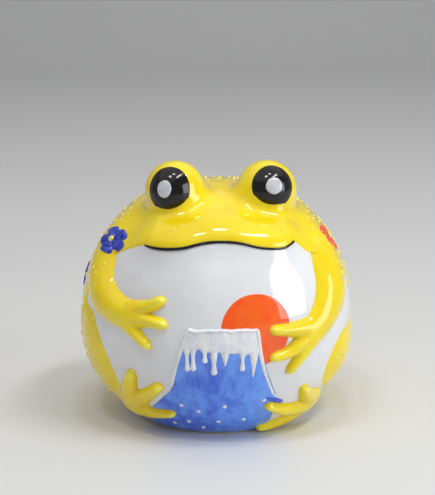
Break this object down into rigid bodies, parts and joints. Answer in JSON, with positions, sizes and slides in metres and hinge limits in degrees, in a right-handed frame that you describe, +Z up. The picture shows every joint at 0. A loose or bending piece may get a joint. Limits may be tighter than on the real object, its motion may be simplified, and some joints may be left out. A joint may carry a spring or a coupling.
{
  "type": "animal figurine",
  "caption": "Round glazed porcelain frog ornament with bulging eyes, hands on its belly and a painted snowy mountain with a red sun.",
  "frame": {"origin": "centre of the flat foot that the frog stands on, in the plane of the table", "axes": "+Z up through the crown, -Y the way the frog faces, +X towards the frog's left hand"},
  "size_m": [0.0924, 0.0913, 0.0863],
  "materials": {
    "porcelain": "glossy",
    "yellow_glaze": "glossy",
    "black_glaze": "glossy",
    "glint_enamel": "glossy",
    "blue_enamel": "glossy",
    "snow_enamel": "glossy",
    "sun_enamel": "glossy",
    "blossom_blue": "glossy",
    "blossom_red": "glossy",
    "bead_yellow": "glossy"
  },
  "bodies": {
    "root": {"body_casting": "porcelain", "head_and_back": "yellow_glaze", "right_arm": "yellow_glaze", "left_arm": "yellow_glaze", "right_thigh": "yellow_glaze", "left_thigh": "yellow_glaze", "right_foot": "yellow_glaze", "left_foot": "yellow_glaze", "right_eye_mound": "yellow_glaze", "left_eye_mound": "yellow_glaze", "right_eye": "black_glaze", "left_eye": "black_glaze", "mouth_line": "black_glaze", "right_eye_glint": "glint_enamel", "left_eye_glint": "glint_enamel", "mountain": "blue_enamel", "snow_cap": "snow_enamel", "right_snow_ridge": "snow_enamel", "left_snow_ridge": "snow_enamel", "snow_dot_1": "snow_enamel", "snow_dot_2": "snow_enamel", "snow_dot_3": "snow_enamel", "snow_dot_4": "snow_enamel", "snow_dot_5": "snow_enamel", "snow_dot_6": "snow_enamel", "snow_dot_7": "snow_enamel", "snow_dot_8": "snow_enamel", "snow_dot_9": "snow_enamel", "red_sun": "sun_enamel", "blue_blossom_1": "blossom_blue", "blue_blossom_2": "blossom_blue", "blue_blossom_3": "blossom_blue", "blue_blossom_4": "blossom_blue", "red_blossom_1": "blossom_red", "red_blossom_2": "blossom_red", "red_blossom_3": "blossom_red", "red_blossom_4": "blossom_red", "blue_blossom_bead_1": "bead_yellow", "blue_blossom_bead_2": "bead_yellow", "blue_blossom_bead_3": "bead_yellow", "blue_blossom_bead_4": "bead_yellow", "red_blossom_bead_1": "bead_yellow", "red_blossom_bead_2": "bead_yellow", "red_blossom_bead_3": "bead_yellow", "red_blossom_bead_4": "bead_yellow"}
  },
  "joints": []
}
